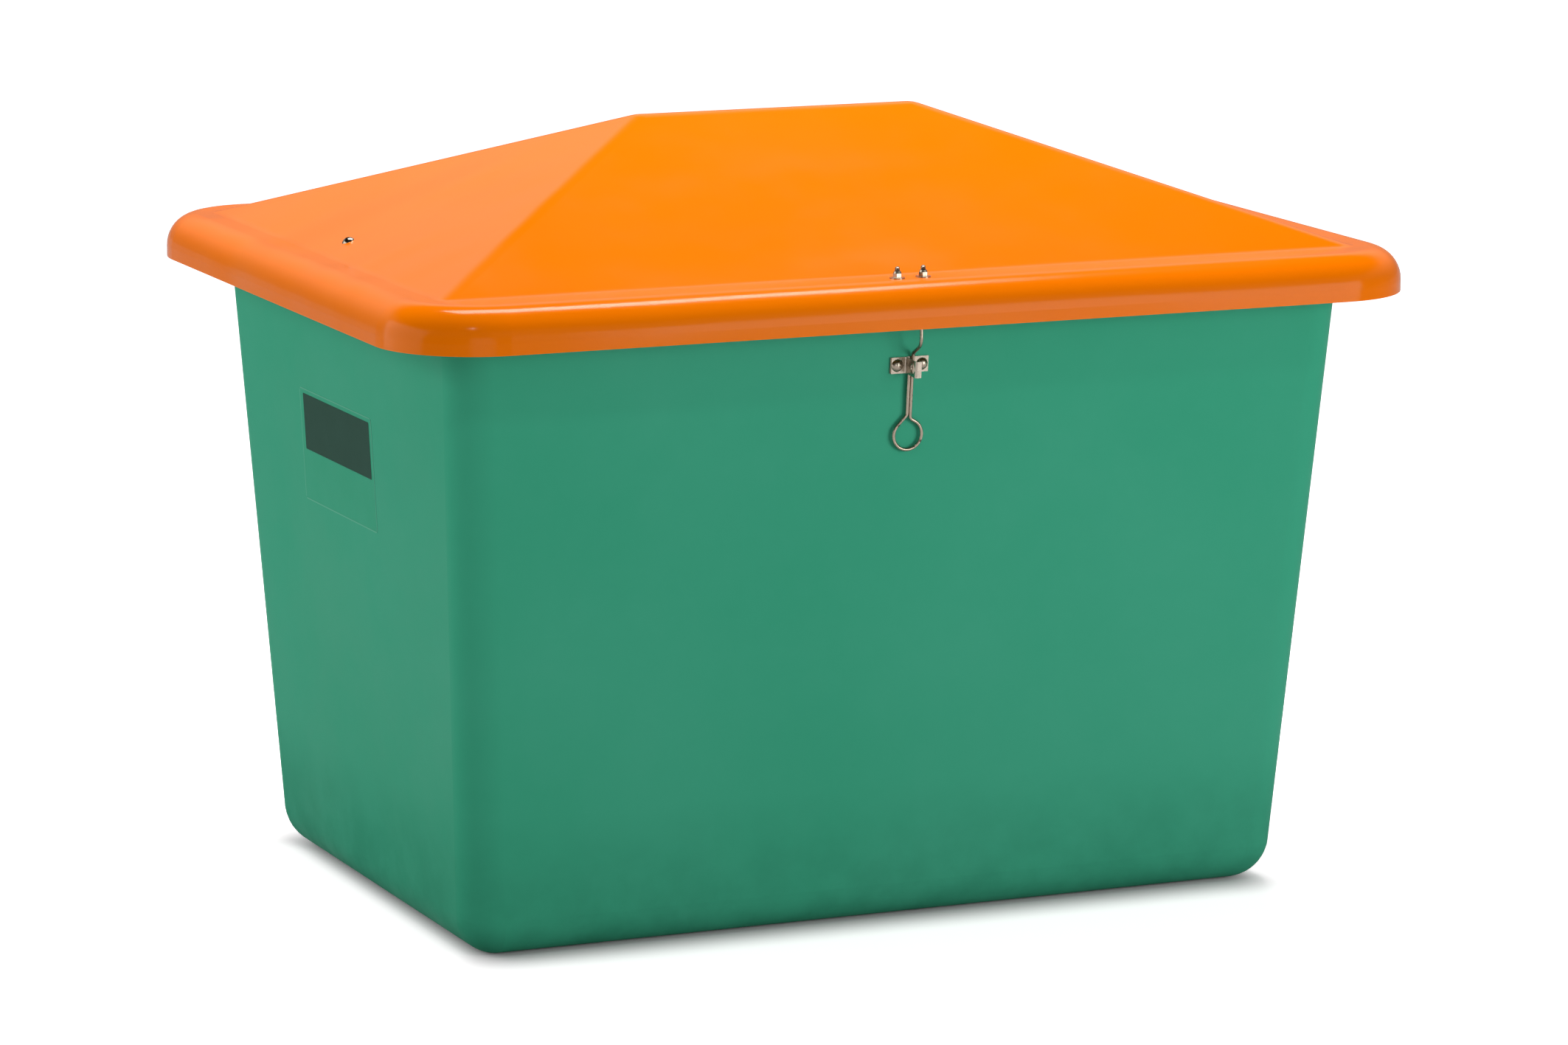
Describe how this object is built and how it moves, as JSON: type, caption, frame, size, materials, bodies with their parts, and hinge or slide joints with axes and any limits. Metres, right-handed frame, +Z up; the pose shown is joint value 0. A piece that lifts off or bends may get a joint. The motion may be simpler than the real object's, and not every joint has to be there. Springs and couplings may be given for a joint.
{
  "type": "grit salt bin",
  "caption": "Tapered glass fibre grit salt bin with a hipped, skirted lid hinged at the back and a bent-wire latch that drops over a padlockable keeper on the front wall.",
  "frame": {"origin": "on the floor, under the centre of the bin's plan", "axes": "+Z up, -Y towards the front wall with the latch, +X to the right of someone who faces that wall"},
  "size_m": [1.34, 0.991, 0.9664],
  "materials": {
    "green_gel_coat": "gloss gel coat on glass fibre polyester, slightly uneven",
    "orange_gel_coat": "gloss gel coat on glass fibre polyester, slightly uneven",
    "stainless": "warm stainless steel, satin",
    "film": "clear satin film, bare"
  },
  "bodies": {
    "tub": {"tub": "green_gel_coat", "keeper_plate": "stainless", "keeper_hook": "stainless", "keeper_bolts": "stainless", "keeper_washers": "stainless", "keeper_nuts": "stainless", "hinge_wall_leaf_left": "stainless", "hinge_wall_leaf_right": "stainless", "hinge_pin_left": "stainless", "hinge_pin_right": "stainless", "hinge_wall_bolts": "stainless", "hinge_wall_washers": "stainless", "hinge_wall_nuts": "stainless", "stay_eye_tub": "stainless", "stay_tub_bolt": "stainless", "stay_tub_nut": "stainless", "label_film": "film"},
    "lid": {"lid": "orange_gel_coat", "latch_bracket": "stainless", "latch_bolts": "stainless", "latch_washers": "stainless", "latch_nuts": "stainless", "hinge_lid_leaf_left": "stainless", "hinge_lid_leaf_right": "stainless", "hinge_lid_bolts": "stainless", "hinge_lid_washers": "stainless", "hinge_lid_nuts": "stainless", "stay_eye_lid": "stainless", "stay_lid_bolt": "stainless", "stay_lid_nut": "stainless"},
    "latch": {"latch_wire": "stainless"}
  },
  "joints": [
    {"name": "lid_hinge", "type": "hinge", "parent": "tub", "child": "lid", "pos_m": [0, 0.49, 0.751], "axis": [-1, 0, 0], "range_deg": [0, 100]},
    {"name": "latch_swing", "type": "hinge", "parent": "lid", "child": "latch", "pos_m": [-0.006, -0.449, 0.79295], "axis": [-0.7071, -0.7071, 0], "range_deg": [0, 30]}
  ]
}
